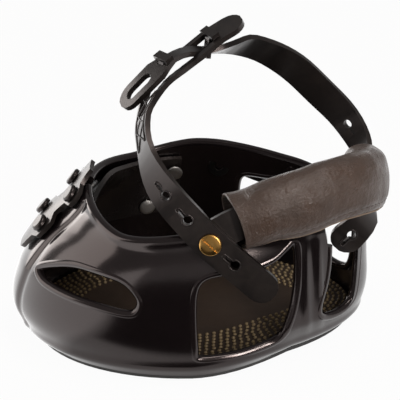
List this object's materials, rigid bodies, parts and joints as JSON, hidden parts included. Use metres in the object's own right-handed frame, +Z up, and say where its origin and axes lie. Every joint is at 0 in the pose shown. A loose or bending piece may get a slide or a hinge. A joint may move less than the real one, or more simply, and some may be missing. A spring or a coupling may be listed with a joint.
{
  "type": "horse hoof boot",
  "caption": "Horse hoof boot: moulded shell with tread, vents and open quarters, buttoned front strap, and a pastern strap ring with a rolled gaiter that swings on brass screws.",
  "frame": {"origin": "the middle of the tread's ground face", "axes": "+Y towards the heel, +X towards the near side with the exposed screw, +Z up"},
  "size_m": [0.124, 0.1803, 0.1484],
  "materials": {
    "shell": "glossy dark brown-black moulded polyurethane with a mauve sheen",
    "tread": "matt black rubber",
    "footbed": "matt dark brown, with small moulded pins",
    "strap": "satin black moulded polyurethane",
    "gaiter": "brown faced neoprene with a light cut edge",
    "tongue": "soft matt black moulding",
    "foam": "dark closed-cell foam",
    "brass": "worn turned brass",
    "blackened": "blackened turned steel",
    "steel": "bright stainless steel"
  },
  "bodies": {
    "boot": {"shell": "shell", "outsole": "tread", "footbed": "footbed", "tongue": "tongue", "tongue_rivet_1": "steel", "tongue_rivet_2": "steel", "tongue_rivet_3": "steel", "front_strap": "strap", "front_knob_near_lower": "strap", "front_knob_near_upper": "strap", "front_knob_far_lower": "strap", "front_knob_far_upper": "strap", "knob_rivet_near_lower": "steel", "knob_rivet_near_upper": "steel", "knob_rivet_far_lower": "steel", "knob_rivet_far_upper": "steel", "barrel_nut_near": "blackened", "barrel_nut_far": "blackened"},
    "ring": {"near_pastern_strap": "strap", "far_pastern_strap": "strap", "heel_strap": "strap", "closure_hook_front": "strap", "closure_hook_rear": "strap", "gaiter_sleeve": "gaiter", "gaiter_pad": "foam", "barrel_nut_heel": "blackened"},
    "screw_near": {"strap_screw_near": "brass"},
    "screw_far": {"strap_screw_far": "brass"},
    "screw_heel": {"strap_screw_heel": "brass"}
  },
  "joints": [
    {"name": "ring_swing", "type": "hinge", "parent": "boot", "child": "ring", "pos_m": [-0.00121, 0.012, 0.0646], "axis": [0.9915, 0, 0.1302], "range_deg": [0, 30]},
    {"name": "near_screw_turn", "type": "hinge", "parent": "boot", "child": "screw_near", "pos_m": [0.05666, 0.012, 0.0722], "axis": [0.9915, 0, 0.1302], "range_deg": [-180, 180]},
    {"name": "far_screw_turn", "type": "hinge", "parent": "boot", "child": "screw_far", "pos_m": [-0.05908, 0.012, 0.057], "axis": [-0.9915, 0, -0.1302], "range_deg": [-180, 180]},
    {"name": "heel_screw_turn", "type": "hinge", "parent": "ring", "child": "screw_heel", "pos_m": [0, 0.08488, 0.0722], "axis": [0, 1, 0], "range_deg": [-180, 180]}
  ]
}
